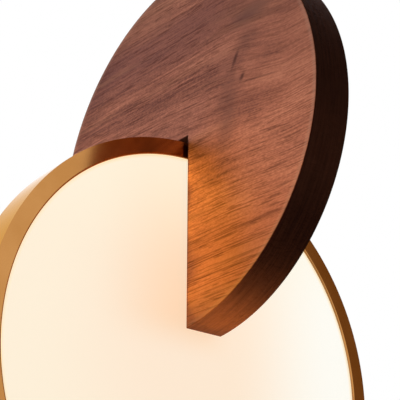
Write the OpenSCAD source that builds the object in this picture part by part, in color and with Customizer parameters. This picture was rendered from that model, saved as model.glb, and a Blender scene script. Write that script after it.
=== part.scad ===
// LED pendant lamp: a walnut disc slotted over a lit disc that stands square to it.
// The lamp hangs from one cord. Its gland and swivel sit on the top edge of the walnut disc.
// Origin: centre of the cord entry, on top of the gland nut. +Z is up.
// The lit disc lies in the XZ plane with its front towards -Y, the walnut disc in the YZ plane.

/* [Walnut disc] */
// Diameter of the walnut disc
wood_d = 271; // [250:1:290]
// Thickness of the walnut disc
wood_t = 28; // [24:0.5:36]
// Small flat broken on the edges of both faces
wood_arris = 0.8; // [0.3:0.1:2]
// Height of the slot's end above the centre of the walnut disc
slot_rise = 0; // [-10:1:10]
// Free space between the lit disc and each cheek of the slot
slot_gap = 2.2; // [1.5:0.1:3]
// Depth of the flat that the swivel housing sits on, cut into the top edge
seat_depth = 1.2; // [0.8:0.1:3]

/* [Lit disc] */
// Outer diameter of the brass rim
lit_d = 300; // [280:1:320]
// Thickness of the lit disc across its two brass faces
lit_t = 28; // [24:0.5:32]
// Width of the flat brass band round each lit face
band_w = 11.4; // [11:0.1:14]
// Thickness of the front flange and of the rear bezel
flange_t = 1.2; // [1:0.1:2]
// Wall of the brass rim
rim_wall = 1.8; // [1.5:0.1:2.2]
// Bevel on the edges of the brass
brass_bevel = 0.3; // [0.1:0.1:0.5]
// Thickness of each opal diffuser
diffuser_t = 3; // [2:0.5:4]
// Thickness of each gasket
gasket_t = 0.5; // [0.3:0.1:0.8]
// How far a gasket's inner edge stands back from the brass
gasket_setback = 0.4; // [0.2:0.1:1]
// Thickness of the clear light guide
guide_t = 5; // [4:0.5:6]
// Width of the white spacer rings, measured along the radius
spacer_w = 2.2; // [1.5:0.1:2.4]

/* [Lighting] */
// Radial thickness of the aluminium heat ring
heat_ring_t = 5; // [4.5:0.1:5.2]
// Thickness of the flexible LED strip
strip_t = 0.3; // [0.2:0.1:0.4]
// Width of the LED strip
strip_w = 10; // [8:0.5:12]
// Number of LED chips on the strip
chip_count = 72; // [36:1:96]
// Length of an LED chip along the strip
chip_l = 3.5; // [2:0.1:3.5]
// Width of an LED chip across the strip
chip_w = 2.8; // [2:0.1:2.8]
// Height of an LED chip
chip_h = 0.9; // [0.6:0.1:1]
// Free space between the chips and the edge of the light guide
chip_gap = 0.7; // [0.4:0.1:0.9]
// Diameter of an insulated strip lead
lead_d = 1.2; // [0.8:0.1:1.6]
// Distance between the two strip leads
lead_pitch = 4; // [3:0.5:6]

/* [Hanger] */
// Outer diameter of the threaded hanger tube
tube_d = 10; // [9:0.5:12]
// Bore of the hanger tube
tube_bore = 8; // [7.5:0.1:8.5]
// Length of the hanger block across the rim
block_l = 36; // [32:1:40]
// Height of the cord channel under the end of the tube
channel_h = 2; // [1.5:0.1:2.4]
// Width of the cord channel
channel_w = 6; // [4:0.5:8]
// Distance of each block screw from the tube, measured along the rim
block_screw_x = 12; // [11:0.5:14]
// Length of the feed terminal
terminal_l = 8; // [6:0.5:9]
// Width of the feed terminal
terminal_w = 10; // [8:0.5:12]
// Height of the feed terminal
terminal_h = 3.2; // [2.5:0.1:3.4]
// Thickness of the steel saddle plate at the slot's end
saddle_t = 1.2; // [1:0.1:2]
// Width of the saddle plate, through the walnut
saddle_w = 14; // [12:0.5:18]
// Distance of each saddle screw from the tube
saddle_screw_y = 11; // [10.5:0.1:12]
// Length of a saddle screw under its head
saddle_screw_l = 16; // [12:1:25]
// Thickness of the lock nut
lock_nut_t = 2.4; // [2:0.1:4]
// Width of the lock nut across its flats
lock_nut_af = 14; // [13:0.5:15]
// Free space between the lock nut and the brass rim
crown_clear = 0.3; // [0.2:0.1:1]
// Width of a felt slot pad, through the walnut
pad_w = 18; // [12:1:22]
// Height of a felt slot pad
pad_h = 8.5; // [6:0.5:9]

/* [Swivel and gland] */
// Diameter of the hanging cord
cord_d = 5; // [4:0.1:5.5]
// Free space round the cord in the gland nut, the stem and the tube's bush
cord_clear = 0.5; // [0.4:0.05:0.6]
// Free space round the cord in the open collet
collet_clear = 0.1; // [0.05:0.05:0.15]
// Outer diameter of the swivel housing and its cap
housing_d = 24; // [23:0.5:28]
// Wall of the swivel housing round its chamber
housing_wall = 2.5; // [2.2:0.1:3]
// Thickness of the housing's floor
floor_t = 5; // [4:0.5:8]
// Height of the chamber that the two stop pins share
pin_room = 7; // [6.5:0.1:9]
// Depth of the cap's skirt over the housing
skirt_h = 6; // [5:0.5:7]
// Thickness of the cap's top
cap_t = 3; // [2.5:0.1:5]
// Thickness of the nylon thrust washer
washer_t = 1; // [0.8:0.1:2]
// Thickness of the flange on the swivel stem
stem_flange_t = 3; // [2:0.1:4]
// Diameter of the stem where it turns in the cap
stem_d = 10; // [9:0.1:11]
// Diameter of the two stop pins
pin_d = 2.5; // [2:0.1:3]
// Height of the stem's hexagon
hex_h = 5; // [4:0.5:8]
// Width of the stem's hexagon across its flats
hex_af = 15; // [14:0.5:18]
// Height of the gland nut
nut_h = 13; // [12:0.5:16]
// Outer diameter of the gland nut
nut_d = 17; // [16:0.5:20]
// Thickness of the gland nut's top, the length of the cord entry
nut_top_t = 3; // [2:0.5:4]
// Diameter of the gland thread
thread_d = 12; // [11.5:0.1:12.5]

/* [Fits] */
// Radial play of the stem in the cap
swivel_play = 0.05; // [0.02:0.01:0.08]
// Radial play in a screw thread or a bonded joint
thread_play = 0.05; // [0.03:0.01:0.08]
// Radial play of a piece dropped into a bore
drop_play = 0.3; // [0.2:0.05:0.5]

/* [Screws] */
// Diameter of the small machine screws
screw_d = 3; // [2.5:0.1:3]
// Length of a bezel screw
bezel_screw_l = 10; // [8:1:12]
// Number of bezel screws
bezel_screw_count = 8; // [6:1:12]
// Length of a block screw
block_screw_l = 5.4; // [4:0.1:5.8]
// Diameter of a pan head
pan_d = 5.4; // [5:0.1:5.6]
// Height of a pan head
pan_h = 2; // [1.5:0.1:2.1]

/* [Hidden] */
$fn = 96;
eps = 0.01;

// Colours
walnut = [0.42, 0.24, 0.17];
brass = [0.78, 0.56, 0.30];
opal = [1.0, 0.94, 0.85];
steel = [0.66, 0.67, 0.69];
aluminium = [0.80, 0.81, 0.82];
nylon = [0.92, 0.91, 0.87];
felt = [0.16, 0.11, 0.09];
silicone = [0.12, 0.10, 0.09];

// Radii and half sizes
wood_r = wood_d / 2;
lit_r = lit_d / 2;
lit_half = lit_t / 2;
entry_r = cord_d / 2 + cord_clear;
collet_bore_r = cord_d / 2 + collet_clear;
slot_half = lit_half + slot_gap;
screw_r = screw_d / 2;
screw_hole_r = screw_r + thread_play;
screw_clear_r = screw_r + drop_play;
head_r = screw_r + flange_t;
pin_r = pin_d / 2;

// Radii inside the lit disc, from the rim inwards
face_r = lit_r - band_w;
rim_in_r = lit_r - rim_wall;
diffuser_r = rim_in_r - drop_play;
heat_out_r = rim_in_r - thread_play;
heat_in_r = heat_out_r - heat_ring_t;
strip_out_r = heat_in_r - thread_play;
strip_in_r = strip_out_r - strip_t;
chip_seat_r = sqrt(pow(strip_in_r, 2) - pow(chip_l / 2, 2)) - thread_play / 2;
chip_face_r = chip_seat_r - chip_h;
guide_r = chip_face_r - chip_gap;
spacer_in_r = guide_r - spacer_w;
bezel_screw_r = (heat_in_r + heat_out_r) / 2;

// Depths inside the lit disc, from its middle plane outwards
gasket_face = lit_half - flange_t;
diffuser_face = gasket_face - gasket_t;
core_half = diffuser_face - diffuser_t;
guide_half = guide_t / 2;

// Hanger block and the opening in the heat ring that it fills
block_bottom = guide_r + drop_play;
block_half_y = core_half - drop_play;
block_top_r = rim_in_r - thread_play;
block_screw_angle = asin(block_screw_x / lit_r);
tube_end = block_bottom + channel_h;
terminal_x = block_l / 2;
strip_tab = 3;
terminal_end = terminal_x + terminal_l;
lead_run = 9;
strip_open = terminal_end + lead_run - lead_d;
heat_open = strip_open + strip_tab;
chip_start = asin(heat_open / strip_in_r) + chip_l / strip_in_r * 90;

// Heights, from the cord entry downwards
joint_gap = 0.4;
nut_bottom = -nut_h;
hex_top = nut_bottom - joint_gap;
hex_bottom = hex_top - hex_h;
cap_top = hex_bottom - joint_gap;
cap_under = cap_top - cap_t;
stem_flange_top = cap_under - washer_t;
stem_flange_bottom = stem_flange_top - stem_flange_t;
floor_top = stem_flange_bottom - pin_room;
seat_z = floor_top - floor_t;
wood_z = seat_z + seat_depth - wood_r;
slot_end = wood_z + slot_rise;
saddle_under = slot_end - saddle_t;
crown_gap = saddle_t + lock_nut_t + crown_clear;
lit_z = slot_end - crown_gap - lit_r;

// Swivel chamber and its two stop pins
housing_r = housing_d / 2;
chamber_r = housing_r - housing_wall;
spigot_r = housing_r - housing_wall / 2;
stem_r = stem_d / 2;
stem_flange_r = chamber_r - drop_play;
bush_flange_t = 1;
bush_r = tube_d / 2;
bush_spigot_l = 6;
travel_pin_r = stem_flange_r - pin_r - drop_play;
travel_pin_drop = pin_room - 2 * drop_play;
stop_pin_z = floor_top + pin_r + bush_flange_t / 2;
stop_pin_in = travel_pin_r - pin_r;
skirt_bottom = cap_under - skirt_h;

// Gland thread, collet and the cone inside the nut
thread_r = thread_d / 2;
thread_top = -nut_top_t - 4.6;
collet_r = thread_r - 1.2;
collet_spigot_r = thread_r - 1.6;
collet_spigot_l = 3;
collet_top_r = entry_r + 1;
collet_play = 0.15;
collet_top = -nut_top_t - collet_play;
nut_round = 2.5;
slit_w = 0.8;
slit_count = 4;
saddle_l = 2 * slot_half - 2 * drop_play;

// A disc on the Y axis, from y_low to y_high
module disc_y(r, y_low, y_high) {
    translate([0, y_high, 0])
        rotate([90, 0, 0])
            cylinder(r = r, h = y_high - y_low);
}

// A ring on the Y axis, from y_low to y_high
module ring_y(r_out, r_in, y_low, y_high) {
    difference() {
        disc_y(r_out, y_low, y_high);
        disc_y(r_in, y_low - eps, y_high + eps);
    }
}

// A ring on the Z axis, from z_low to z_high
module ring_z(r_out, r_in, z_low, z_high) {
    translate([0, 0, z_low])
        difference() {
            cylinder(r = r_out, h = z_high - z_low);
            translate([0, 0, -eps])
                cylinder(r = r_in, h = z_high - z_low + 2 * eps);
        }
}

// A hexagonal bar on the Z axis
module hexagon(across_flats, z_low, z_high) {
    translate([0, 0, z_low])
        cylinder(d = across_flats / cos(30), h = z_high - z_low, $fn = 6);
}

// Puts its children in the lit disc's own frame
module at_lit() {
    translate([0, 0, lit_z])
        children();
}

// Space left open at the top of a ring for the hanger block
module top_opening(half_l, half_y) {
    translate([-half_l, -half_y - eps, 0])
        cube([2 * half_l, 2 * (half_y + eps), lit_r]);
}

// A countersunk screw with the flat of its head at z = 0 and its tip down
module countersunk_screw(length) {
    translate([0, 0, -flange_t])
        cylinder(r1 = screw_r, r2 = head_r, h = flange_t);
    translate([0, 0, -length])
        cylinder(r = screw_r, h = length - flange_t / 2);
}

// The hole for a countersunk screw, running a little above z = 0
module countersunk_hole(length) {
    translate([0, 0, -flange_t])
        cylinder(r1 = screw_r + thread_play, r2 = head_r + thread_play, h = flange_t);
    cylinder(r = head_r + thread_play, h = screw_r);
    translate([0, 0, -length])
        cylinder(r = screw_clear_r, h = length - flange_t / 2);
}

// Places of the bezel screws on the rear face, each pointing forwards
module bezel_screw_places() {
    for (i = [0 : bezel_screw_count - 1])
        rotate([0, (i + 0.5) * 360 / bezel_screw_count, 0])
            translate([0, lit_half, bezel_screw_r])
                rotate([-90, 0, 0])
                    children();
}

// Places of the block screws on the rim, one on each side of the tube
module block_screw_places() {
    for (side = [-1, 1])
        rotate([0, side * block_screw_angle, 0])
            translate([0, 0, lit_r])
                children();
}

// Places of the saddle screws under the saddle plate
module saddle_screw_places() {
    for (side = [-1, 1])
        translate([0, side * saddle_screw_y, saddle_under])
            children();
}

// Half outline of the collet, grown for the cone that it sits in
module collet_outline(grow) {
    polygon([
        [0, thread_top - collet_spigot_l],
        [collet_spigot_r + grow, thread_top - collet_spigot_l],
        [collet_spigot_r + grow, thread_top],
        [collet_r + grow, thread_top],
        [collet_top_r + grow, collet_top + grow],
        [0, collet_top + grow]
    ]);
}

// Domed brass nut that squeezes the collet on the cord
module gland_nut() {
    color(brass)
        difference() {
            rotate_extrude()
                difference() {
                    union() {
                        translate([0, nut_bottom])
                            square([nut_d / 2, nut_h - nut_round]);
                        translate([0, -nut_round - eps])
                            square([nut_d / 2 - nut_round, nut_round + eps]);
                        translate([nut_d / 2 - nut_round, -nut_round])
                            circle(r = nut_round);
                    }
                    translate([-nut_d, nut_bottom])
                        square([nut_d, nut_h]);
                }
            rotate_extrude()
                collet_outline(collet_play);
            translate([0, 0, nut_bottom - eps])
                cylinder(r = thread_r + thread_play, h = thread_top - nut_bottom + 2 * eps);
            translate([0, 0, nut_bottom])
                cylinder(r = entry_r, h = nut_h + eps);
        }
}

// Slit nylon collet round the cord
module gland_collet() {
    color(nylon)
        difference() {
            rotate_extrude()
                collet_outline(0);
            translate([0, 0, thread_top - collet_spigot_l - eps])
                cylinder(r = collet_bore_r, h = -thread_top + collet_spigot_l);
            for (i = [0 : slit_count - 1])
                rotate([0, 0, i * 360 / slit_count])
                    translate([0, -slit_w / 2, thread_top + slit_w])
                        cube([thread_r, slit_w, -thread_top]);
        }
}

// Turned brass stem: flange, journal, hexagon and gland thread on one bore
module swivel_stem() {
    color(brass)
        difference() {
            union() {
                translate([0, 0, stem_flange_bottom])
                    cylinder(r = stem_flange_r, h = stem_flange_t);
                translate([0, 0, stem_flange_top - eps])
                    cylinder(r = stem_r, h = hex_bottom - stem_flange_top + 2 * eps);
                hexagon(hex_af, hex_bottom, hex_top);
                translate([0, 0, hex_top - eps])
                    cylinder(r = thread_r, h = thread_top - hex_top + eps - collet_play);
            }
            translate([0, 0, stem_flange_bottom - eps])
                cylinder(r = entry_r, h = -stem_flange_bottom);
            translate([0, 0, thread_top - collet_spigot_l - collet_play])
                cylinder(r = collet_spigot_r + collet_play, h = collet_spigot_l + 1);
            translate([travel_pin_r, 0, stem_flange_bottom - eps])
                cylinder(r = pin_r + thread_play, h = stem_flange_t + 2 * eps);
        }
}

// Steel pin in the stem's flange that meets the stop pin at each end of the swivel
module travel_pin() {
    color(steel)
        translate([travel_pin_r, 0, stem_flange_bottom - travel_pin_drop])
            cylinder(r = pin_r, h = stem_flange_t + travel_pin_drop);
}

// Brass cap that holds the stem's flange down in the housing
module swivel_cap() {
    color(brass)
        difference() {
            translate([0, 0, skirt_bottom])
                cylinder(r = housing_r, h = cap_top - skirt_bottom);
            translate([0, 0, skirt_bottom - eps])
                cylinder(r = spigot_r + thread_play, h = skirt_h + eps);
            translate([0, 0, cap_under - eps])
                cylinder(r = stem_r + swivel_play, h = cap_t + 2 * eps);
        }
}

// Nylon washer that carries the lamp on the stem's flange
module thrust_washer() {
    color(nylon)
        ring_z(stem_flange_r, stem_r + drop_play, stem_flange_top, cap_under);
}

// Brass cup screwed on the hanger tube, seated on the flat in the walnut
module swivel_housing() {
    color(brass)
        difference() {
            union() {
                translate([0, 0, seat_z])
                    cylinder(r = housing_r, h = skirt_bottom - seat_z);
                translate([0, 0, skirt_bottom - eps])
                    cylinder(r = spigot_r, h = skirt_h + eps);
            }
            translate([0, 0, floor_top])
                cylinder(r = chamber_r, h = cap_under - floor_top + eps);
            translate([0, 0, seat_z - eps])
                cylinder(r = tube_d / 2 + thread_play, h = floor_t + 2 * eps);
            translate([-chamber_r, 0, stop_pin_z])
                rotate([0, -90, 0])
                    translate([0, 0, -housing_wall])
                        cylinder(r = pin_r + thread_play, h = 3 * housing_wall);
        }
}

// Steel pin through the housing wall that ends the swivel's travel
module stop_pin() {
    color(steel)
        translate([-stop_pin_in, 0, stop_pin_z])
            rotate([0, -90, 0])
                cylinder(r = pin_r, h = spigot_r - stop_pin_in);
}

// Nylon bush that guards the cord at the tube's upper end
module tube_bush() {
    color(nylon)
        difference() {
            union() {
                translate([0, 0, floor_top])
                    cylinder(r = bush_r, h = bush_flange_t);
                translate([0, 0, floor_top - bush_spigot_l])
                    cylinder(r = tube_bore / 2 - thread_play, h = bush_spigot_l + eps);
            }
            translate([0, 0, floor_top - bush_spigot_l - eps])
                cylinder(r = entry_r, h = bush_spigot_l + bush_flange_t + 2 * eps);
        }
}

// Threaded steel tube from the housing down through the walnut into the rim
module hanger_tube() {
    color(steel)
        ring_z(tube_d / 2, tube_bore / 2, lit_z + tube_end, floor_top);
}

// Walnut disc with the slot, the tube's bore, the housing's seat and pilot holes
module wood_disc() {
    half = wood_t / 2;
    color(walnut)
        difference() {
            translate([0, 0, wood_z])
                rotate([0, 90, 0])
                    rotate_extrude()
                        polygon([
                            [0, -half],
                            [wood_r - wood_arris, -half],
                            [wood_r, wood_arris - half],
                            [wood_r, half - wood_arris],
                            [wood_r - wood_arris, half],
                            [0, half]
                        ]);
            translate([-wood_t, -slot_half, wood_z - wood_d])
                cube([2 * wood_t, 2 * slot_half, slot_end - wood_z + wood_d]);
            translate([0, 0, slot_end - eps])
                cylinder(r = tube_d / 2 + drop_play, h = seat_z - slot_end + 2 * eps);
            translate([0, 0, seat_z])
                cylinder(r = housing_r + drop_play, h = 2 * seat_depth);
            saddle_screw_places()
                cylinder(r = screw_hole_r, h = saddle_screw_l + screw_d / 2);
        }
}

// Steel plate that bears on the slot's end
module saddle_plate() {
    color(steel)
        difference() {
            translate([-saddle_w / 2, -saddle_l / 2, saddle_under])
                cube([saddle_w, saddle_l, saddle_t]);
            translate([0, 0, saddle_under - eps])
                cylinder(r = tube_d / 2 + drop_play, h = saddle_t + 2 * eps);
            saddle_screw_places()
                translate([0, 0, -eps])
                    cylinder(r = screw_clear_r, h = saddle_t + 2 * eps);
        }
}

// Two pan-head wood screws that hold the saddle plate
module saddle_screws() {
    color(steel)
        saddle_screw_places() {
            translate([0, 0, -pan_h])
                cylinder(d = pan_d, h = pan_h);
            translate([0, 0, -eps])
                cylinder(r = screw_r, h = saddle_screw_l);
        }
}

// Thin hexagon nut that clamps the walnut between the saddle plate and the housing
module lock_nut() {
    color(steel)
        difference() {
            hexagon(lock_nut_af, saddle_under - lock_nut_t, saddle_under);
            translate([0, 0, saddle_under - lock_nut_t - eps])
                cylinder(r = tube_d / 2 + thread_play, h = lock_nut_t + 2 * eps);
        }
}

// Felt pads on the slot's cheeks that keep the lit disc square
module slot_pads() {
    pad_mid = face_r + band_w / 2;
    color(felt)
        at_lit()
            for (y_low = [-slot_half, lit_half])
                translate([-pad_w / 2, y_low, pad_mid - pad_h / 2])
                    cube([pad_w, slot_gap, pad_h]);
}

// Brass rim with its front flange, drilled at the top for the tube and the block screws
module rim_body() {
    color(brass)
        at_lit()
            difference() {
                rotate([90, 0, 0])
                    rotate_extrude()
                        polygon([
                            [rim_in_r, -gasket_face],
                            [lit_r, -gasket_face],
                            [lit_r, lit_half - brass_bevel],
                            [lit_r - brass_bevel, lit_half],
                            [face_r + brass_bevel, lit_half],
                            [face_r, lit_half - brass_bevel],
                            [face_r, gasket_face],
                            [rim_in_r, gasket_face]
                        ]);
                cylinder(r = tube_d / 2 + drop_play, h = lit_r + eps);
                block_screw_places()
                    countersunk_hole(block_screw_l);
            }
}

// Brass ring that closes the back of the rim
module rear_bezel() {
    color(brass)
        at_lit()
            difference() {
                rotate([90, 0, 0])
                    rotate_extrude()
                        polygon([
                            [face_r, -gasket_face],
                            [face_r, brass_bevel - lit_half],
                            [face_r + brass_bevel, -lit_half],
                            [lit_r - brass_bevel, -lit_half],
                            [lit_r, brass_bevel - lit_half],
                            [lit_r, -gasket_face]
                        ]);
                bezel_screw_places()
                    countersunk_hole(bezel_screw_l);
            }
}

// Countersunk screws that hold the rear bezel to the heat ring
module bezel_screws() {
    color(brass)
        at_lit()
            bezel_screw_places()
                countersunk_screw(bezel_screw_l);
}

// Gasket between the front flange and its diffuser
module front_gasket() {
    color(silicone)
        at_lit()
            ring_y(diffuser_r, face_r + gasket_setback, -gasket_face, -diffuser_face);
}

// Gasket between the rear bezel and its diffuser, with holes for the bezel screws
module rear_gasket() {
    color(silicone)
        at_lit()
            difference() {
                ring_y(diffuser_r, face_r + gasket_setback, diffuser_face, gasket_face);
                bezel_screw_places()
                    translate([0, 0, -bezel_screw_l])
                        cylinder(r = screw_clear_r, h = bezel_screw_l);
            }
}

// Opal disc on the front
module front_diffuser() {
    color(opal)
        at_lit()
            disc_y(diffuser_r, -diffuser_face, -core_half);
}

// Opal disc on the back, with holes for the bezel screws
module rear_diffuser() {
    color(opal)
        at_lit()
            difference() {
                disc_y(diffuser_r, core_half, diffuser_face);
                bezel_screw_places()
                    translate([0, 0, -bezel_screw_l])
                        cylinder(r = screw_clear_r, h = bezel_screw_l);
            }
}

// White ring between the light guide and the front diffuser
module front_spacer() {
    color("white")
        at_lit()
            ring_y(guide_r, spacer_in_r, -core_half, -guide_half);
}

// White ring between the light guide and the rear diffuser
module rear_spacer() {
    color("white")
        at_lit()
            ring_y(guide_r, spacer_in_r, guide_half, core_half);
}

// Clear disc that spreads the chips' light over both faces
module light_guide() {
    color([0.9, 0.95, 0.95, 0.6])
        at_lit()
            disc_y(guide_r, -guide_half, guide_half);
}

// Aluminium ring bonded in the rim: it carries the strip, the diffusers and the bezel screws
module heat_ring() {
    color(aluminium)
        at_lit()
            difference() {
                ring_y(heat_out_r, heat_in_r, -core_half, core_half);
                top_opening(heat_open, core_half);
                bezel_screw_places()
                    translate([0, 0, -bezel_screw_l - screw_d])
                        cylinder(r = screw_hole_r, h = bezel_screw_l);
            }
}

// Flexible circuit strip bonded inside the heat ring, with a free tab at each end
module led_strip() {
    color("white")
        at_lit()
            difference() {
                ring_y(strip_out_r, strip_in_r, -strip_w / 2, strip_w / 2);
                top_opening(strip_open, strip_w);
            }
}

// LED chips on the strip, facing the edge of the light guide
module led_chips() {
    chip_step = (360 - 2 * chip_start) / (chip_count - 1);
    color("gold")
        at_lit()
            for (i = [0 : chip_count - 1])
                rotate([0, chip_start + i * chip_step, 0])
                    translate([-chip_l / 2, -chip_w / 2, chip_face_r])
                        cube([chip_l, chip_w, chip_h]);
}

// Aluminium block inside the rim that the hanger tube screws into
module hanger_block() {
    color(aluminium)
        at_lit()
            difference() {
                intersection() {
                    translate([-block_l / 2, -block_half_y, block_bottom])
                        cube([block_l, 2 * block_half_y, lit_r - block_bottom]);
                    disc_y(block_top_r, -block_half_y, block_half_y);
                }
                translate([0, 0, block_bottom - eps])
                    cylinder(r = tube_d / 2 + thread_play, h = lit_r - block_bottom);
                translate([0, -channel_w / 2, block_bottom - eps])
                    cube([block_l, channel_w, channel_h + eps]);
                block_screw_places()
                    translate([0, 0, -block_screw_l - screw_d])
                        cylinder(r = screw_hole_r, h = block_screw_l + screw_d);
            }
}

// Countersunk screws that hold the rim to the hanger block
module block_screws() {
    color(brass)
        at_lit()
            block_screw_places()
                countersunk_screw(block_screw_l);
}

// Terminal on the end of the hanger block where the cord meets the strip leads
module feed_terminal() {
    color(nylon)
        at_lit()
            translate([terminal_x, -terminal_w / 2, block_bottom])
                cube([terminal_l, terminal_w, terminal_h]);
}

// Two leads from the terminal to the tab of the strip
module strip_leads() {
    lead_r = lead_d / 2;
    tab_r = strip_out_r + lead_r + thread_play;
    tab_x = strip_open + strip_tab / 2;
    tab_z = sqrt(pow(tab_r, 2) - pow(tab_x, 2));
    start_x = terminal_end + lead_r / 2;
    start_z = block_bottom + terminal_h / 2;
    run_x = tab_x - start_x;
    run_z = start_z - tab_z;
    color("firebrick")
        at_lit()
            for (side = [-1, 1])
                translate([start_x, side * lead_pitch / 2, start_z])
                    rotate([0, 90 + atan2(run_z, run_x), 0])
                        cylinder(r = lead_r, h = norm([run_x, run_z]));
}

gland_nut();
gland_collet();
swivel_stem();
travel_pin();
swivel_cap();
thrust_washer();
swivel_housing();
stop_pin();
tube_bush();
hanger_tube();
wood_disc();
saddle_plate();
saddle_screws();
lock_nut();
slot_pads();
rim_body();
rear_bezel();
bezel_screws();
front_gasket();
rear_gasket();
front_diffuser();
rear_diffuser();
front_spacer();
rear_spacer();
light_guide();
heat_ring();
led_strip();
led_chips();
hanger_block();
block_screws();
feed_terminal();
strip_leads();
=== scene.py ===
import math

import bpy
from mathutils import Matrix, Vector


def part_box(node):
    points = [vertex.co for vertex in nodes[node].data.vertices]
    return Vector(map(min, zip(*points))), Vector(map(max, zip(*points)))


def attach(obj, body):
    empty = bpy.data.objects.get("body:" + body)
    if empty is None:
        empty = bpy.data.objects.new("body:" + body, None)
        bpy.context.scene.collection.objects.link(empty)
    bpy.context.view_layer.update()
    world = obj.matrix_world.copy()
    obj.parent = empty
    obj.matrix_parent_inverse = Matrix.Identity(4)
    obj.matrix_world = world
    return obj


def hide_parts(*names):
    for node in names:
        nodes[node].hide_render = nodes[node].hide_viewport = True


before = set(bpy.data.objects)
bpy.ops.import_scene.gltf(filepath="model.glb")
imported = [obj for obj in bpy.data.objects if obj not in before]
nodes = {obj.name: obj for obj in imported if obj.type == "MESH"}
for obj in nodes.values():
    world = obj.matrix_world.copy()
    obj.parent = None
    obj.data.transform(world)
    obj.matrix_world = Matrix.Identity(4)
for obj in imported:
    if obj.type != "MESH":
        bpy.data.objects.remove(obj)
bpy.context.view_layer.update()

# The camera stands in front of the lamp, low and to its left, and looks up at both discs as the photograph
# does. It was found by fitting the edges of the two discs, so its lens and place have odd values.
camera_place = (-0.3823, -0.4722, -0.4886)
ahead = Vector((0.5810, 0.6989, 0.4170)).normalized()
towards_top = Vector((-0.2686, -0.3190, 0.9089))
lens_mm = 89.01
sensor_mm = 36.0
scene = bpy.context.scene
scene.view_settings.view_transform = "Standard"
rightward = ahead.cross(towards_top).normalized()
upward = rightward.cross(ahead)
camera_turn = Matrix((rightward, upward, -ahead)).transposed()
bpy.ops.object.camera_add(location=camera_place, rotation=camera_turn.to_euler())
camera = bpy.context.object
camera.data.lens = lens_mm
camera.data.sensor_width = sensor_mm
scene.camera = camera


# The studio is a white surround that the camera and the metal see, with a low even light from all round.
# A brown screen to the right of the lamp darkens what the brass on that side mirrors.
class Socket:
    """One output of a shader node. Arithmetic on it adds Math nodes to the same tree."""

    def __init__(self, tree, output=None):
        self.tree = tree
        self.output = output

    def node(self, kind, settings, inputs, output=0):
        """Adds a node, sets its settings first and then its inputs, and gives one of its outputs."""
        made = self.tree.nodes.new(kind)
        for name, value in settings.items():
            if name == "stops":
                made.color_ramp.elements[0].position = value[0][0]
                made.color_ramp.elements[0].color = (*value[0][1], 1)
                made.color_ramp.elements[1].position = value[-1][0]
                made.color_ramp.elements[1].color = (*value[-1][1], 1)
                for position, colour in value[1:-1]:
                    made.color_ramp.elements.new(position).color = (*colour, 1)
            else:
                setattr(made, name, value)
        for name, value in inputs.items():
            if isinstance(value, Socket):
                self.tree.links.new(value.output, made.inputs[name])
            else:
                made.inputs[name].default_value = value
        return Socket(self.tree, made.outputs[output]) if made.outputs else None

    def maths(self, operation, first, second=0.0):
        return self.node("ShaderNodeMath", {"operation": operation}, {0: first, 1: second})

    def __add__(self, other):
        return self.maths("ADD", self, other)

    def __radd__(self, other):
        return self.maths("ADD", other, self)

    def __sub__(self, other):
        return self.maths("SUBTRACT", self, other)

    def __rsub__(self, other):
        return self.maths("SUBTRACT", other, self)

    def __mul__(self, other):
        return self.maths("MULTIPLY", self, other)

    def __rmul__(self, other):
        return self.maths("MULTIPLY", other, self)

    def __truediv__(self, other):
        return self.maths("DIVIDE", self, other)

    def __rtruediv__(self, other):
        return self.maths("DIVIDE", other, self)

    def vectors(self, operation, first, second=(0, 0, 0)):
        """Vector arithmetic; a length or a dot product comes out as a value."""
        output = "Value" if operation in ("LENGTH", "DOT_PRODUCT") else "Vector"
        return self.node("ShaderNodeVectorMath", {"operation": operation}, {0: first, 1: second}, output)

    def between(self, low, high):
        """0 at low, 1 at high, with a smooth step between them."""
        step = {"interpolation_type": "SMOOTHSTEP"}
        return self.node("ShaderNodeMapRange", step, {"Value": self, "From Min": low, "From Max": high})

    def mix(self, first, second):
        """Goes from the first colour to the second as this value goes from 0 to 1."""
        pair = {0: self}
        for place, colour in ((6, first), (7, second)):
            pair[place] = colour if isinstance(colour, Socket) else (*colour, 1)
        return self.node("ShaderNodeMix", {"data_type": "RGBA"}, pair, 2)

    def noise(self, scale, detail=2.0, roughness=0.5):
        """Noise over this place, with its own scale along each axis."""
        stretched = self.node("ShaderNodeMapping", {}, {"Vector": self, "Scale": scale})
        grit = {"Vector": stretched, "Scale": 1.0, "Detail": detail, "Roughness": roughness}
        return self.node("ShaderNodeTexNoise", {}, grit)

    def axis(self, letter):
        return self.node("ShaderNodeSeparateXYZ", {}, {"Vector": self}, letter)

    def ray(self, kind):
        return self.node("ShaderNodeLightPath", {}, {}, kind)

    def shown(self):
        """1 where a surface is seen, mirrored or seen through glass, and 0 where it only gives light."""
        rays = self.ray("Is Camera Ray") + self.ray("Is Glossy Ray") + self.ray("Is Transmission Ray")
        return self.maths("MINIMUM", rays, 1.0)


white = (1.0, 1.0, 1.0)
even_light = (0.028, 0.027, 0.028)
mirrored_white = (1.27, 1.35, 1.45)
screen_brown = (0.30, 0.198, 0.105)
screen_side = (0.99, -0.10, 0.10)
studio = bpy.data.worlds.new("studio")
scene.world = studio
studio.use_nodes = True
studio.node_tree.nodes.clear()
surround = Socket(studio.node_tree)
looking = surround.node("ShaderNodeTexCoord", {}, {}, "Generated")
towards_screen = surround.vectors("DOT_PRODUCT", looking, screen_side)
mirrored = towards_screen.between(0.63, 0.76).mix(mirrored_white, screen_brown)
backdrop = surround.ray("Is Glossy Ray").mix(white, mirrored)
studio_light = surround.shown().mix(even_light, backdrop)
studio_shader = surround.node("ShaderNodeBackground", {}, {"Color": studio_light})
surround.node("ShaderNodeOutputWorld", {}, {"Surface": studio_shader})


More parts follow.
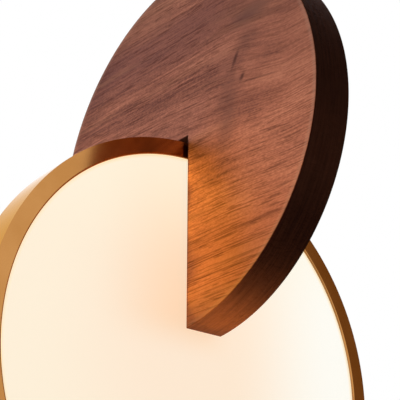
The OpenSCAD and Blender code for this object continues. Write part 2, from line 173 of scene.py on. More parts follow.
# Two soft boxes light the lamp. The main one stands on the left, level with the walnut, and a weaker one
# behind on the right. The main one isn't mirrored, so the brass shows the plain surround there.
def softbox(name, place, aim, size, spread, power):
    bpy.ops.object.light_add(type="AREA", location=place)
    box = bpy.context.object
    box.name = name
    box.rotation_euler = (Vector(aim) - Vector(place)).to_track_quat("-Z", "Y").to_euler()
    box.data.size = size
    box.data.spread = math.radians(spread)
    box.data.energy = power
    return box


main_softbox = softbox("main_softbox", place=(-1.18, 0.71, -0.20), aim=(0, 0, -0.22),
                       size=0.60, spread=60, power=3.1)
main_softbox.visible_glossy = False
softbox("rear_softbox", place=(1.10, 1.00, 0.40), aim=(0, 0, -0.25), size=0.80, spread=90, power=3.0)


# The floor is a plain pale sheet well below the hanging lamp, out of the photograph's view.
# It is painted matt, and shows almost its full colour to the camera and in the metal.
def new_finish(name):
    """A new material and the Object coordinates it is painted by."""
    material = bpy.data.materials.new(name)
    material.use_nodes = True
    material.node_tree.nodes.clear()
    return material, Socket(material.node_tree).node("ShaderNodeTexCoord", {}, {}, "Object")


def surface(place, inputs):
    """Closes a material with one Principled shader."""
    shader = place.node("ShaderNodeBsdfPrincipled", {}, inputs)
    place.node("ShaderNodeOutputMaterial", {}, {"Surface": shader})


def wear(material, *objects):
    """Gives objects this material and no other."""
    for dressed in objects:
        dressed.data.materials.clear()
        dressed.data.materials.append(material)


floor_r = 4.0
floor_z = -1.40
own_brightness = 0.75
bpy.ops.object.select_all(action="DESELECT")
bpy.ops.mesh.primitive_circle_add(vertices=96, radius=floor_r, fill_type="NGON", location=(0, 0, floor_z))
floor = bpy.context.object
floor.name = "floor"
bpy.ops.object.transform_apply(location=True, rotation=True, scale=True)
floor_paint, place = new_finish("floor_paint")
floor_tone = place.noise((3, 3, 3)).mix((0.80, 0.79, 0.77), (0.84, 0.83, 0.81))
matt_floor = place.node("ShaderNodeBsdfPrincipled", {}, {"Base Color": floor_tone, "Roughness": 0.7})
bright_floor = place.node("ShaderNodeEmission", {}, {"Color": floor_tone})
floor_shader = place.node("ShaderNodeMixShader", {}, {
    0: place.shown() * own_brightness, 1: matt_floor, 2: bright_floor})
place.node("ShaderNodeOutputMaterial", {}, {"Surface": floor_shader})
wear(floor_paint, floor)

# The walnut disc is sawn from one planed board, with a slot from below to its centre and hand-eased edges.
# A bore down from its top takes the hanger tube, and a round seat there takes the swivel's cup.
# Two small holes at the slot's end take the saddle's screws.
mm = 0.001


def span(node, axis):
    """The lowest and the highest level of a CAD node along an axis, in mm."""
    which = "XYZ".index(axis)
    low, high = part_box(node)
    return round(low[which] / mm, 3), round(high[which] / mm, 3)


def turned(name, outline, sides, hollow=True):
    """A piece turned on the Z axis from (radius, height) points in mm; a hollow outline closes on itself."""
    bpy.ops.object.select_all(action="DESELECT")
    bpy.ops.mesh.primitive_circle_add(vertices=sides, radius=outline[0][0] * mm)
    piece = bpy.context.object
    piece.name = name
    bpy.ops.object.mode_set(mode="EDIT")
    bpy.ops.mesh.select_all(action="SELECT")
    bpy.ops.transform.translate(value=(0, 0, outline[0][1] * mm))
    path = outline + outline[:1] if hollow else outline
    for (radius, height), (next_radius, next_height) in zip(path, path[1:]):
        grow = next_radius / radius
        bpy.ops.mesh.extrude_region_move()
        bpy.ops.transform.resize(value=(grow, grow, 1), center_override=(0, 0, height * mm))
        bpy.ops.transform.translate(value=(0, 0, (next_height - height) * mm))
    bpy.ops.mesh.select_all(action="SELECT")
    bpy.ops.mesh.remove_doubles(threshold=0.001 * mm)
    if not hollow:
        bpy.ops.mesh.fill_holes(sides=0)
    bpy.ops.mesh.normals_make_consistent(inside=False)
    bpy.ops.object.mode_set(mode="OBJECT")
    return piece


def pick(piece):
    """Makes a piece the only selected and active object."""
    bpy.ops.object.select_all(action="DESELECT")
    piece.select_set(True)
    bpy.context.view_layer.objects.active = piece


def set_down(piece, place, turn=(0, 0, 0)):
    """Moves a piece to its place on the lamp, in mm, and keeps that in its mesh."""
    piece.location = Vector(place) * mm
    piece.rotation_euler = turn
    pick(piece)
    bpy.ops.object.transform_apply(location=True, rotation=True, scale=True)


def rod(radius, length, place, turn=(0, 0, 0), sides=64):
    """A round bar to cut with, centred on its place."""
    bpy.ops.mesh.primitive_cylinder_add(vertices=sides, radius=radius * mm, depth=length * mm,
                                        location=Vector(place) * mm, rotation=turn)
    return bpy.context.object


def bar(size, place):
    """A square bar to cut with, centred on its place."""
    bpy.ops.mesh.primitive_cube_add(size=1, location=Vector(place) * mm, scale=Vector(size) * mm)
    return bpy.context.object


def shape(piece, tool, operation="DIFFERENCE"):
    """Cuts a piece with a tool, or joins the tool to it, and takes the tool away."""
    pick(piece)
    step = piece.modifiers.new("shape", "BOOLEAN")
    step.operation = operation
    step.solver = "EXACT"
    step.object = tool
    bpy.ops.object.modifier_apply(modifier=step.name)
    bpy.data.objects.remove(tool)


def ease(piece, width, steps):
    """Rounds the sharp edges of a piece by a width in mm and shades the rest of it smooth."""
    pick(piece)
    bevel = piece.modifiers.new("eased_edges", "BEVEL")
    bevel.width = width * mm
    bevel.segments = steps
    bevel.limit_method = "ANGLE"
    bevel.angle_limit = math.radians(30)
    bpy.ops.object.modifier_apply(modifier=bevel.name)
    bpy.ops.object.shade_smooth_by_angle(angle=math.radians(40))
    even = piece.modifiers.new("even_shading", "WEIGHTED_NORMAL")
    even.keep_sharp = True
    bpy.ops.object.modifier_apply(modifier=even.name)


wood_r = 135.5
wood_half = span("wood_disc", "X")[1]
wood_z = span("saddle_plate", "Z")[1]
wood_edge = 0.8
slot_half = span("slot_pads", "Y")[1]
slot_cut_wide = 60
slot_cut_long = 300
tube_hole_r = 5.3
tube_cut = 300
cup_low, cup_top = span("swivel_housing", "Z")
cup_seat_r = 12.3
seat_cut = 20
saddle_screw_out = 11.0
saddle_screw_deep = 16.3
screw_hole_r = 1.55
screw_cut = 40
wood = turned("walnut_disc", [(wood_r, -wood_half), (wood_r, wood_half)], sides=256, hollow=False)
set_down(wood, (0, 0, wood_z), (0, math.pi / 2, 0))
shape(wood, bar((slot_cut_wide, 2 * slot_half, slot_cut_long), (0, 0, wood_z - slot_cut_long / 2)))
shape(wood, rod(tube_hole_r, tube_cut, (0, 0, wood_z + tube_cut / 3)))
shape(wood, rod(cup_seat_r, seat_cut, (0, 0, cup_low + seat_cut / 2)))
for side in (-1, 1):
    screw_hole = (0, side * saddle_screw_out, wood_z + saddle_screw_deep - screw_cut / 2)
    shape(wood, rod(screw_hole_r, screw_cut, screw_hole, sides=24))
ease(wood, wood_edge, steps=3)


# The walnut is oiled and has only a low sheen. Its grain is nearly level and bends past a small knot above
# the middle; places are in mm from the disc's centre, along the grain, up, and by the rise of its lines.
# Tone goes from dark to pale, with thin layers of other browns over it, from plum at the top to rust below.
# Painted shade lies near the face's upper border, on the rim and in the slot, and a painted highlight runs
# along the eased edge.
def by_level(level, shades):
    """A grey value that follows (level, shade) steps."""
    lowest, highest = shades[0][0], shades[-1][0]
    stops = [((step - lowest) / (highest - lowest), (shade, shade, shade)) for step, shade in shades]
    return level.node("ShaderNodeValToRGB", {"stops": stops}, {"Fac": (level - lowest) / (highest - lowest)})


def patch(y, z, outer, inner, tall=1.0, lean=0.0):
    """1 within the inner distance of a place on the walnut's face, and 0 past the outer one.
    Tall draws the patch out upwards, and lean tips it over."""
    upright = height - z
    across = along - y + upright * lean
    upright = upright / tall
    away = across.maths("SQRT", across * across + upright * upright)
    return away.between(outer, inner)


def layered(colour, layers):
    """Lays thin layers over a colour: each has where it lies, its share there and its own colour."""
    for cover, share, tint in layers:
        colour = (cover * share).mix(colour, tint)
    return colour


def fit(piece, material, node, body="lamp"):
    """Dresses a finished piece and puts it in the place of its CAD node."""
    wear(material, piece)
    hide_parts(node)
    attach(piece, body)


walnut, place = new_finish("walnut")
centred = place.vectors("SUBTRACT", place, (0, 0, wood_z * mm))
thick, along, height = (centred.axis(letter) / mm for letter in "XYZ")
reach = place.vectors("LENGTH", place.node("ShaderNodeCombineXYZ", {}, {"X": along, "Y": height}))
from_knot = along + 61
past_knot = (from_knot - place.maths("SQRT", from_knot * from_knot + 150)) * 0.5
past_knot = place.maths("MAXIMUM", past_knot, -50)
over_knot = (height - 20) / 45
by_knot = 1 / (1 + over_knot * over_knot)
wander = (centred.noise((6, 5, 9), 1) - 0.5) * 12
rise = height - along * (0.055 + 0.0004 * height) - past_knot * by_knot * 0.22 + wander
grain = place.node("ShaderNodeCombineXYZ", {}, {"X": thick, "Y": along, "Z": rise})
grain = place.vectors("MULTIPLY", grain, (mm, mm, mm))
cloud = centred.noise((20, 17, 34), 3)
band = grain.noise((5, 3, 40), 3)
streak = grain.noise((30, 16, 300))
fibre = grain.noise((200, 26, 1000), 3, 0.75)
pores = grain.noise((400, 60, 1100), 1).between(0.56, 0.65)
fleck = centred.noise((700, 420, 900), 1)

growth = [
    (-125, 0.62), (-100, 0.62), (-86, 0.59), (-81, 0.50), (-76, 0.60), (-56, 0.58),
    (-40, 0.49), (-20, 0.53), (0, 0.55), (20, 0.54), (34, 0.50), (42, 0.46),
    (54, 0.54), (64, 0.50), (80, 0.47), (96, 0.45), (108, 0.56), (125, 0.60),
]
figure = (band - 0.5) * 0.26 + (cloud - 0.5) * 0.16
calm = 1.0 - along.between(-30, -75) * height.between(-30, 20) * 0.38
crisp = 0.68 + 0.56 * rise.between(-20, 80) + 0.40 * rise.between(88, 108)
fine = (streak - 0.5) * 0.26 + (fibre - 0.5) * 0.65
fine = (fine * crisp + (fleck - 0.5) * 0.38) * calm
pale = along.between(-65, -100) * height.between(-35, 5) * 0.135
pale = pale + along.between(-45, -75) * height.between(-5, -25) * height.between(-85, -65) * 0.07
pale = pale + patch(-62, -68, 30, 0, 0.6) * 0.14 + patch(-106, 18, 28, 0, 0.8) * 0.05
pale = pale + patch(-79, 29, 18, 2, 0.7) * 0.14 + patch(-48, -56, 24, 0, 0.6) * 0.11
# Darker patches of the wood, and painted shade near the upper border of the face.
dark_patches_and_border_shade = patch(-104, 43, 46, 10, 0.8) * 0.16 + patch(-88, -6, 36, 8, 0.48) * 0.13
dark_patches_and_border_shade = dark_patches_and_border_shade + reach.between(104, 131) * along.between(-15, 30) * height.between(40, 80) * 0.16
tone = by_level(rise, growth) + figure + fine + pale - dark_patches_and_border_shade
bare_wood = place.node("ShaderNodeValToRGB", {"stops": [
    (0.24, (0.095, 0.037, 0.029)),
    (0.41, (0.180, 0.0685, 0.049)),
    (0.53, (0.265, 0.100, 0.066)),
    (0.76, (0.400, 0.160, 0.103)),
]}, {"Fac": tone})

plum = (rise + (cloud - 0.5) * 30).between(55, 80) * along.between(-100, -20) * rise.between(110, 94)
tan = rise.between(90, 112) * along.between(-30, 20)
rust = height.between(-50, -100) * along.between(0, -20)
halo = patch(-52, 50, 16, 4, 0.7, 0.3) * (1.0 - streak * 0.6)
halo = halo + patch(-66.5, 24.5, 4, 1, 1.4) + patch(-57, 36, 15, 3, 0.8, 0.3) * 0.5
smear = patch(-57, 8, 17.5, 1, 1.8, 0.1) * 1.12 + patch(-60, 33, 10, 0, 1.8, 0.3) * 0.12
smear = smear + patch(-77, 47, 16, 0, 0.8) * 0.95 + patch(-80, 64, 28, 0, 0.4, -0.6) * 0.8
smear = smear * (0.60 + 0.40 * centred.noise((60, 90, 130), 4, 0.6).between(0.30, 0.65))
smear = smear + patch(-54.5, -14, 13, 0, 2.0, 0.15) * 0.55
blotch = patch(-80, 65.5, 27, 4, 0.4)
crack = place.maths("ABSOLUTE", rise - 25.2).between(1.3, 0)
crack = crack * along.between(-110, -94) * along.between(-68, -78)
eyes = patch(-64.7, 37, 3.2, 0, 2.8, 0.5) + patch(-71, 20.5, 3.6, 0, 1.2, 0.5) + crack * 0.5
veins = grain.noise((300, 6, 840), 2, 0.6).between(0.55, 0.64) * calm
golden_lines = grain.noise((9, 7, 70)).between(0.52, 0.72)
# A painted highlight: a paler, greyer line along the eased edge, where it would catch the light.
eased_edge_highlight = reach.between(wood_r - 4.0, wood_r - 1.7) * reach.between(wood_r - 0.3, wood_r - 0.8)
on_edge = reach.between(wood_r - 0.9, wood_r - 0.1)
# The slot's cheeks are nearly black: darker end grain, with painted shade in the narrow slot.
slot_end_grain_and_shade = place.maths("ABSOLUTE", along).between(slot_half + 0.6, slot_half + 0.1) * height.between(0.8, 0.2)

# The walnut's rim is painted lighter and darker by height: this is painted light and shade, with the rim's
# own grain lines over it.
edge_painted_light_and_shade = [
    (-136, 0.85), (-128, 0.80), (-118, 0.32), (-108, 0.04), (-94, 0.06),
    (-83, 0.25), (-72, 0.55), (-59, 0.80), (-33, 0.80), (-19, 0.55),
    (-5, 0.40), (9, 0.40), (24, 0.30), (60, 0.25), (136, 0.30),
]
edge_lines = (centred.noise((420, 14, 14), 3, 0.6) - 0.5) * 0.75
edge_fibre = (centred.noise((1100, 60, 60), 3, 0.7) - 0.5) * 0.8
edge_grain_and_shading = by_level(height, edge_painted_light_and_shade) + edge_lines + edge_fibre
shaded_edge_colour = edge_grain_and_shading.mix((0.050, 0.016, 0.011), (0.300, 0.096, 0.048))

wood_colour = layered(bare_wood, [
    (plum, 0.5, (0.145, 0.059, 0.052)),
    (tan, 0.4, (0.300, 0.126, 0.082)),
    (rust, 0.45, (0.295, 0.097, 0.058)),
    (halo, 0.5, (0.370, 0.145, 0.095)),
    (smear, 0.72, (0.140, 0.058, 0.044)),
    (blotch, 0.72, (0.110, 0.049, 0.042)),
    (eyes, 0.95, (0.070, 0.028, 0.022)),
    (veins, 0.42 + 0.24 * rust, (0.100, 0.033, 0.023)),
    (golden_lines, 0.30, (0.250, 0.112, 0.068)),
    (pores * calm, 0.50, (0.074, 0.025, 0.017)),
    (eased_edge_highlight, 0.32, (0.330, 0.175, 0.125)),
    (on_edge, 0.88, shaded_edge_colour),
    (slot_end_grain_and_shade, 0.85, (0.050, 0.018, 0.011)),
])
wood_relief = place.node("ShaderNodeBump", {}, {
    "Strength": 0.3, "Distance": 0.0002, "Height": fibre * 0.5 + streak * 0.5 - pores})
surface(place, {
    "Base Color": wood_colour,
    "Roughness": 0.45 + streak * 0.20 + pores * 0.15,
    "Specular IOR Level": 0.01,
    "Normal": wood_relief,
})
fit(wood, walnut, "wood_disc")

# The hanger tube runs down through the walnut; the saddle plate, its screws and the lock nut clamp the disc.
# They and the swivel's two pins are zinc-plated steel, and their shapes come with the frame.
steel, place = new_finish("plated_steel")
mottle = place.noise((120, 120, 120), 3)
surface(place, {
    "Base Color": mottle.mix((0.44, 0.45, 0.46), (0.58, 0.59, 0.60)),
    "Metallic": 1.0,
    "Roughness": 0.22 + mottle * 0.25,
})
steel_nodes = ("hanger_tube", "saddle_plate", "saddle_screws", "lock_nut", "stop_pin", "travel_pin")
wear(steel, *(nodes[name] for name in steel_nodes))

# Felt pads stuck to the slot's cheeks keep the lit disc square without scratching it.
# The fibres are a fine, rough mat with hardly any shine.
felt, place = new_finish("felt")
lint = place.noise((900, 900, 900), 4, 0.7)
surface(place, {
    "Base Color": lint.mix((0.018, 0.013, 0.010), (0.060, 0.045, 0.036)),
    "Roughness": 0.95,
    "Sheen Weight": 0.3,
    "Normal": place.node("ShaderNodeBump", {}, {"Strength": 0.6, "Distance": 0.0004, "Height": lint}),
})
wear(felt, nodes["slot_pads"])


# The rim is a brass hoop with a flat front flange and a rounded inner lip, turned in one piece and polished.
# Bores at its top let the hanger tube in and take two countersunk screws into the block inside.
def from_axis(place, centre, spread):
    """The offset from a centre given in mm, and the distance from the axis that spread leaves out."""
    offset = place.vectors("SUBTRACT", place, Vector(centre) * mm)
    return offset, place.vectors("LENGTH", place.vectors("MULTIPLY", offset, spread))


def polished_brass(name, centre, spread, lathe_axis):
    """Brass polished on a lathe, with faint rings round its axis through a centre."""
    material, place = new_finish(name)
    offset, radius = from_axis(place, centre, spread)
    rings = place.node("ShaderNodeCombineXYZ", {}, {"X": radius, "Y": offset.axis(lathe_axis)})
    marks = rings.noise((2600, 2600, 1))
    cloud = place.noise((35, 35, 35), 3)
    surface(place, {
        "Base Color": cloud.between(0.3, 0.7).mix((0.422, 0.179, 0.047), (0.468, 0.208, 0.060)),
        "Metallic": 1.0,
        "Roughness": 0.09 + marks * 0.03 + cloud * 0.05,
        "Specular Tint": (0.95, 0.74, 0.48, 1),
        "Normal": place.node("ShaderNodeBump", {}, {"Strength": 0.04, "Distance": 0.0001, "Height": marks}),
    })
    return material


seat_r = 2.75


def screw_seat(hole_r, hole_deep, cone_deep, way_in):
    """A cutter for a countersunk screw: its hole, the cone under its head and the way in from outside."""
    outline = [(hole_r, -hole_deep), (hole_r, -cone_deep), (seat_r, 0), (seat_r, way_in)]
    return turned("screw_seat", outline, sides=32, hollow=False)


lit_z = -326.0
lit_r = 150.0
flange_in, lit_half = span("rear_bezel", "Y")
band_wide = 11.4
face_r = lit_r - band_wide
rim_wall = 1.8
rim_in_r = lit_r - rim_wall
rim_edge = 0.3
rim_cut = 40
block_screw_out = 12.0
to_front = (math.pi / 2, 0, 0)
lip = 1.0
lip_r = face_r + lip
lip_y = lit_half - lip
quarter = [math.radians(turn) for turn in range(0, 91, 15)]
front_lip = [(lip_r - lip * math.sin(turn), lip_y + lip * math.cos(turn)) for turn in quarter]
rim = turned("brass_rim", [
    (rim_in_r, -flange_in), (lit_r, -flange_in), (lit_r, lit_half),
    *front_lip, (face_r, flange_in), (rim_in_r, flange_in),
], sides=288)
set_down(rim, (0, 0, lit_z), to_front)
shape(rim, rod(tube_hole_r, rim_cut, (0, 0, lit_z + lit_r)))
for side in (-1, 1):
    tilt = side * math.asin(block_screw_out / lit_r)
    seat = screw_seat(screw_hole_r, hole_deep=8, cone_deep=1.2, way_in=3)
    set_down(seat, (lit_r * math.sin(tilt), 0, lit_z + lit_r * math.cos(tilt)), (0, tilt, 0))
    shape(rim, seat)
ease(rim, rim_edge, steps=3)
disc_brass = polished_brass("polished_brass", (0, 0, lit_z), (1, 0, 1), "Y")
fit(rim, disc_brass, "rim_body")
wear(disc_brass, nodes["block_screws"])

# Inside the rim an aluminium ring carries the light strip and cools it, and a block takes the hanger tube.
# Both are milled from bar, with fine cutter marks.
aluminium, place = new_finish("milled_aluminium")
cutter = place.noise((700, 60, 700), 3)
surface(place, {
    "Base Color": cutter.mix((0.62, 0.63, 0.64), (0.78, 0.79, 0.80)),
    "Metallic": 1.0,
    "Roughness": 0.28 + cutter * 0.2,
})
wear(aluminium, nodes["heat_ring"], nodes["hanger_block"])

# The light source is a flexible white strip with 72 chips, fed from a small nylon terminal by two leads.
# The chips face the edge of the clear plate in the middle of the disc. The swivel's bush and washer and the
# gland's collet are of the same nylon.
circuit, place = new_finish("white_circuit")
surface(place, {
    "Base Color": place.noise((400, 400, 400)).mix((0.74, 0.74, 0.72), (0.84, 0.84, 0.82)),
    "Roughness": 0.45,
})
wear(circuit, nodes["led_strip"])
phosphor, place = new_finish("phosphor")
surface(place, {
    "Base Color": place.noise((900, 900, 900)).mix((0.75, 0.55, 0.12), (0.85, 0.66, 0.20)),
    "Roughness": 0.5,
    "Emission Color": (1.0, 0.78, 0.45, 1),
    "Emission Strength": 1.0,
})
wear(phosphor, nodes["led_chips"])
nylon, place = new_finish("nylon")
surface(place, {
    "Base Color": place.noise((150, 150, 150)).mix((0.66, 0.64, 0.58), (0.74, 0.72, 0.66)),
    "Roughness": 0.4,
    "Subsurface Weight": 0.1,
    "Subsurface Radius": (0.002, 0.002, 0.002),
})
nylon_nodes = ("feed_terminal", "tube_bush", "thrust_washer", "gland_collet")
wear(nylon, *(nodes[name] for name in nylon_nodes))
insulation, place = new_finish("lead_insulation")
surface(place, {
    "Base Color": place.noise((500, 500, 500)).mix((0.42, 0.03, 0.02), (0.52, 0.05, 0.03)),
    "Roughness": 0.35,
})
wear(insulation, nodes["strip_leads"])

# A clear acrylic plate in the middle of the disc spreads the chips' light to both sides.
# White plastic rings hold it off the two opal faces.
clear, place = new_finish("clear_acrylic")
surface(place, {
    "Base Color": place.noise((60, 60, 60)).mix((0.95, 0.97, 0.97), (0.98, 0.99, 0.99)),
    "Roughness": 0.05,
    "IOR": 1.49,
    "Transmission Weight": 1.0,
})
wear(clear, nodes["light_guide"])
white_plastic, place = new_finish("white_plastic")
surface(place, {
    "Base Color": place.noise((200, 200, 200)).mix((0.78, 0.78, 0.76), (0.86, 0.86, 0.84)),
    "Roughness": 0.4,
})
wear(white_plastic, nodes["front_spacer"], nodes["rear_spacer"])

# The two faces are opal acrylic discs with a satin skin, lit from inside by a warm white light.
# They are whiter to the right and at the top, warm low in the middle, golden along the brass and dimmer at
# the back, where eight holes let the rear screws through. They are warmest beside the walnut, as painted
# light thrown back by the wood.
opal, place = new_finish("opal_acrylic")
offset, radius = from_axis(place, (0, 0, lit_z), (1, 0, 1))
rightwards, backwards, upwards = (offset.axis(letter) / mm for letter in "XYZ")
outwards = radius / mm
# Painted light: the faces are warmer beside the walnut, as if lit by the light the wood throws back.
painted_walnut_bounce = rightwards.between(-85, -5) * rightwards.between(30, 0)
painted_walnut_bounce = painted_walnut_bounce * upwards.between(0, 30) * upwards.between(165, 20)
by_brass = outwards.between(face_r - 3.0, face_r + 0.4)
inner_light = layered(outwards.between(30, 125).mix((0.91, 0.745, 0.58), (0.91, 0.795, 0.622)), [
    (rightwards.between(20, 125), 0.9, (0.92, 0.92, 0.865)),
    (upwards.between(50, 130), 0.5, (0.92, 0.87, 0.69)),
    (painted_walnut_bounce, 0.7, (0.90, 0.60, 0.37)),
    (by_brass, 0.8, (0.94, 0.72, 0.42)),
    (backwards.between(-2, 2), 0.8, (0.76, 0.65, 0.51)),
])
haze = place.noise((9, 9, 9), 1).between(0.35, 0.65) * 0.2
surface(place, {
    "Base Color": haze.mix((0.30, 0.28, 0.25), (0.34, 0.32, 0.28)),
    "Roughness": 0.38,
    "Emission Color": inner_light,
    "Emission Strength": 1.02,
})
opal_r = 147.9
opal_in, opal_out = span("rear_diffuser", "Y")
opal_edge = 0.3
rear_screws = 8
rear_screws_r = 145.65
clearance_r = 1.8
opal_cut = 12
opal_cut_y = 11


def rear_screw_place(step, y):
    """The place of one of the rear screws on its circle, at a level from front to back."""
    tilt = (step + 0.5) * math.tau / rear_screws
    return rear_screws_r * math.sin(tilt), y, lit_z + rear_screws_r * math.cos(tilt)


for name, low, high, node in (
    ("opal_front", opal_in, opal_out, "front_diffuser"),
    ("opal_rear", -opal_out, -opal_in, "rear_diffuser"),
):
    opal_disc = turned(name, [(opal_r, low), (opal_r, high)], sides=256, hollow=False)
    set_down(opal_disc, (0, 0, lit_z), to_front)
    if node == "rear_diffuser":
        for step in range(rear_screws):
            hole = rear_screw_place(step, opal_cut_y)
            shape(opal_disc, rod(clearance_r, opal_cut, hole, to_front, sides=24))
    ease(opal_disc, opal_edge, steps=2)
    fit(opal_disc, opal, node)

# A thin dark silicone gasket lies between each opal face and the brass, and seals the disc.
# Both are cut from sheet, and their shapes come with the frame.
silicone, place = new_finish("silicone")
surface(place, {
    "Base Color": place.noise((300, 300, 300)).mix((0.010, 0.008, 0.007), (0.022, 0.018, 0.015)),
    "Roughness": 0.6,
})
wear(silicone, nodes["front_gasket"], nodes["rear_gasket"])

# The rear bezel is a flat brass ring with a rounded inner lip that closes the back, turned and polished.
# Eight countersunk brass screws with hexagon sockets hold it. One is modelled and the others are its copies.
to_back = (-math.pi / 2, 0, 0)
bezel_edge = 0.15
rear_lip = [(out, -level) for out, level in reversed(front_lip)]
bezel = turned("rear_bezel_ring", [
    *rear_lip, (lit_r, -lit_half), (lit_r, -flange_in), (face_r, -flange_in),
], sides=288)
set_down(bezel, (0, 0, lit_z), to_front)
screw_r = 1.5
screw_long = 10.0
screw_tip_r = 1.2
screw_tip = 0.4
screw_head_r = 2.7
screw_head_deep = 1.2
screw_edge = 0.08
socket_r = 1.0
socket_deep = 1.0
pattern = turned("bezel_screw", [
    (screw_tip_r, -screw_long), (screw_r, screw_tip - screw_long),
    (screw_r, -screw_head_deep), (screw_head_r, 0),
], sides=32, hollow=False)
shape(pattern, rod(socket_r, 2 * socket_deep, (0, 0, 0), sides=6))
ease(pattern, screw_edge, steps=2)
for step in range(rear_screws):
    screw_place = rear_screw_place(step, lit_half)
    seat = screw_seat(clearance_r, hole_deep=3, cone_deep=1.0, way_in=2)
    set_down(seat, screw_place, to_back)
    shape(bezel, seat)
    screw = pattern.copy()
    screw.data = pattern.data.copy()
    screw.name = f"bezel_screw_{step + 1}"
    bpy.context.collection.objects.link(screw)
    set_down(screw, screw_place, to_back)
    fit(screw, disc_brass, "bezel_screws")
bpy.data.objects.remove(pattern)
ease(bezel, bezel_edge, steps=2)
fit(bezel, disc_brass, "rear_bezel")

# The swivel on top is a brass cup seated on the walnut, with a cap screwed over it that holds the stem in.
# Both are turned from bar. The cup has a hole for the stop pin, and the cap two for a pin spanner.
swivel_brass = polished_brass("swivel_brass", (0, 0, 0), (1, 1, 0), "Z")
swivel_r = 12.0
tube_thread_r = 5.05
chamber_r = 9.5
chamber_low = span("hanger_tube", "Z")[1]
cup_neck_r = 10.75
cup_edge = 0.25
cap_low, cap_top = span("swivel_cap", "Z")
cap_skirt_r = 10.8
cap_bore_r = 5.05
cap_edge = 0.3
pin_r = 1.3
pin_cut = 8
stop_pin_z = -31.05
spanner_hole_r = 0.8
spanner_hole_deep = 1.2
spanner_hole_out = 8.5
housing = turned("swivel_cup", [
    (tube_thread_r, cup_low), (swivel_r, cup_low), (swivel_r, cap_low), (cup_neck_r, cap_low),
    (cup_neck_r, cup_top), (chamber_r, cup_top), (chamber_r, chamber_low), (tube_thread_r, chamber_low),
], sides=96)
shape(housing, rod(pin_r, pin_cut, (-cup_neck_r, 0, stop_pin_z), (0, math.pi / 2, 0), sides=32))
ease(housing, cup_edge, steps=3)
fit(housing, swivel_brass, "swivel_housing")
cap = turned("swivel_cover", [
    (cap_skirt_r, cap_low), (swivel_r, cap_low), (swivel_r, cap_top),
    (cap_bore_r, cap_top), (cap_bore_r, cup_top), (cap_skirt_r, cup_top),
], sides=96)
for side in (-1, 1):
    shape(cap, rod(spanner_hole_r, 2 * spanner_hole_deep, (0, side * spanner_hole_out, cap_top), sides=24))
ease(cap, cap_edge, steps=3)
fit(cap, swivel_brass, "swivel_cap")

# The stem turns in the cap and stays with the cord: a flange with a pin's hole, a journal, a hexagon for a
# spanner and the gland's thread, with a seat for the collet. It is turned and milled from brass bar.
stem_low, stem_top = span("swivel_stem", "Z")
stem_edge = 0.25
flange_r = 9.2
flange_top = span("thrust_washer", "Z")[0]
cord_way_r = 3.0
journal_r = 5.0
journal_top = -16.0
thread_r = 6.0
collet_seat_r = 4.55
collet_seat_low = -10.75
hexagon_wide = 15.0
hexagon_tall = 5.0
hexagon_z = -15.9
hexagon_bore_r = 4.0
hexagon_cut = 8
travel_pin_out = 7.65
stem = turned("turned_stem", [
    (cord_way_r, stem_low), (flange_r, stem_low), (flange_r, flange_top), (journal_r, flange_top),
    (journal_r, journal_top), (thread_r, journal_top), (thread_r, stem_top),
    (collet_seat_r, stem_top), (collet_seat_r, collet_seat_low), (cord_way_r, collet_seat_low),
], sides=96)
hexagon = rod(hexagon_wide / math.sqrt(3), hexagon_tall, (0, 0, hexagon_z), sides=6)
shape(hexagon, rod(hexagon_bore_r, hexagon_cut, (0, 0, hexagon_z)))
shape(stem, hexagon, "UNION")
shape(stem, rod(pin_r, pin_cut, (travel_pin_out, 0, (stem_low + flange_top) / 2), sides=32))
ease(stem, stem_edge, steps=2)
fit(stem, swivel_brass, "swivel_stem", "suspension")

# The gland nut screws down on the stem, and a cone inside it squeezes the collet on the cord.
# It is turned from brass bar, with a domed and lipped top and a side that is knurled for the fingers.
nut_low, nut_top = span("gland_nut", "Z")
nut_r = 8.5
nut_sides = 72
nut_edge = 0.3
nut_thread_r = 6.05
dome = 2.5
dome_r = nut_r - dome
dome_z = nut_top - dome
entry_edge = 0.4
cone_top = -3.0
cone_top_r = 4.15
cone_low = -7.6
cone_low_r = 4.95
knurl_low = -11.4
knurl_top = -3.8
knurl_gap = 0.12
knurl_deep = 0.3
domed_top = [(dome_r + dome * math.cos(turn), dome_z + dome * math.sin(turn)) for turn in quarter]
gland = turned("knurled_nut", [
    (nut_thread_r, nut_low), (nut_r - nut_edge, nut_low), (nut_r, nut_low + nut_edge),
    (nut_r, knurl_low), (nut_r, knurl_top), *domed_top,
    (cord_way_r + entry_edge, nut_top), (cord_way_r, nut_top - entry_edge), (cord_way_r, cone_top),
    (cone_top_r, cone_top), (cone_low_r, cone_low), (nut_thread_r, cone_low),
], sides=nut_sides)
pick(gland)
bpy.ops.object.mode_set(mode="EDIT")
bpy.ops.mesh.select_mode(type="FACE")
bpy.ops.mesh.select_all(action="DESELECT")
bpy.ops.object.mode_set(mode="OBJECT")
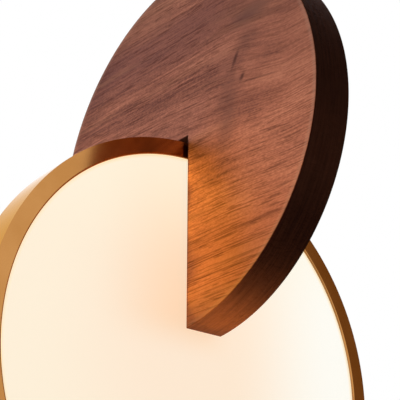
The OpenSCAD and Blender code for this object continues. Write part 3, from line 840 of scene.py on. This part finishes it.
for face in gland.data.polygons:
    off_middle = abs(face.center.z / mm - (knurl_low + knurl_top) / 2)
    outward = face.center.x * face.normal.x + face.center.y * face.normal.y
    if off_middle < 1 and outward > 0:
        turn = math.degrees(math.atan2(face.center.y, face.center.x)) % 360
        face.select = int(turn // (360 / nut_sides)) % 2 == 0
bpy.ops.object.mode_set(mode="EDIT")
bpy.ops.mesh.inset(thickness=knurl_gap * mm, depth=-knurl_deep * mm, use_individual=True)
bpy.ops.object.mode_set(mode="OBJECT")
bpy.ops.object.shade_smooth_by_angle(angle=math.radians(20))
fit(gland, swivel_brass, "gland_nut", "suspension")

# The lamp's own light is a warm glow off both opal faces, thrown on the walnut and turning with the lamp.
# Each row is a patch of it: its distance from the disc's middle plane, its place aside and above the centre,
# its width and height, all in mm, its spread in degrees and its power. One set aside is on both sides.
warm_light = (1.0, 0.60, 0.07)
glow_patches = [
    ("whole", 15.0, 0, 0, 2 * face_r, 2 * face_r, 150, 0.28),
    ("below", 15.2, 0, -40, 26, 100, 150, 0.07),
    ("beside", 15.4, 45, 40, 60, 45, 110, 0.051),
    ("upper", 15.8, 32, 90, 34, 80, 130, 0.045),
    ("top", 16.2, 25, 122, 20, 20, 180, 0.0062),
    ("corner", 16.8, 18, 137, 8, 24, 180, 0.0009),
    ("seam", 16.6, 19, 84, 9, 126, 180, 0.0040),
]
for facing, face_name in ((-1, "front"), (1, "rear")):
    for patch_name, off, aside, up, wide, tall, spread, power in glow_patches:
        for x in ((-aside, aside) if aside else (0,)):
            bpy.ops.object.light_add(type="AREA", location=Vector((x, facing * off, lit_z + up)) * mm,
                                     rotation=(facing * math.pi / 2, 0, 0))
            shine = bpy.context.object
            shine.name = f"{face_name}_glow_{patch_name}"
            shine.data.shape = "ELLIPSE"
            shine.data.size = wide * mm
            shine.data.size_y = tall * mm
            shine.data.spread = math.radians(spread)
            shine.data.energy = power
            shine.data.color = warm_light
            shine.visible_camera = False
            shine.visible_glossy = False
            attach(shine, "lamp")
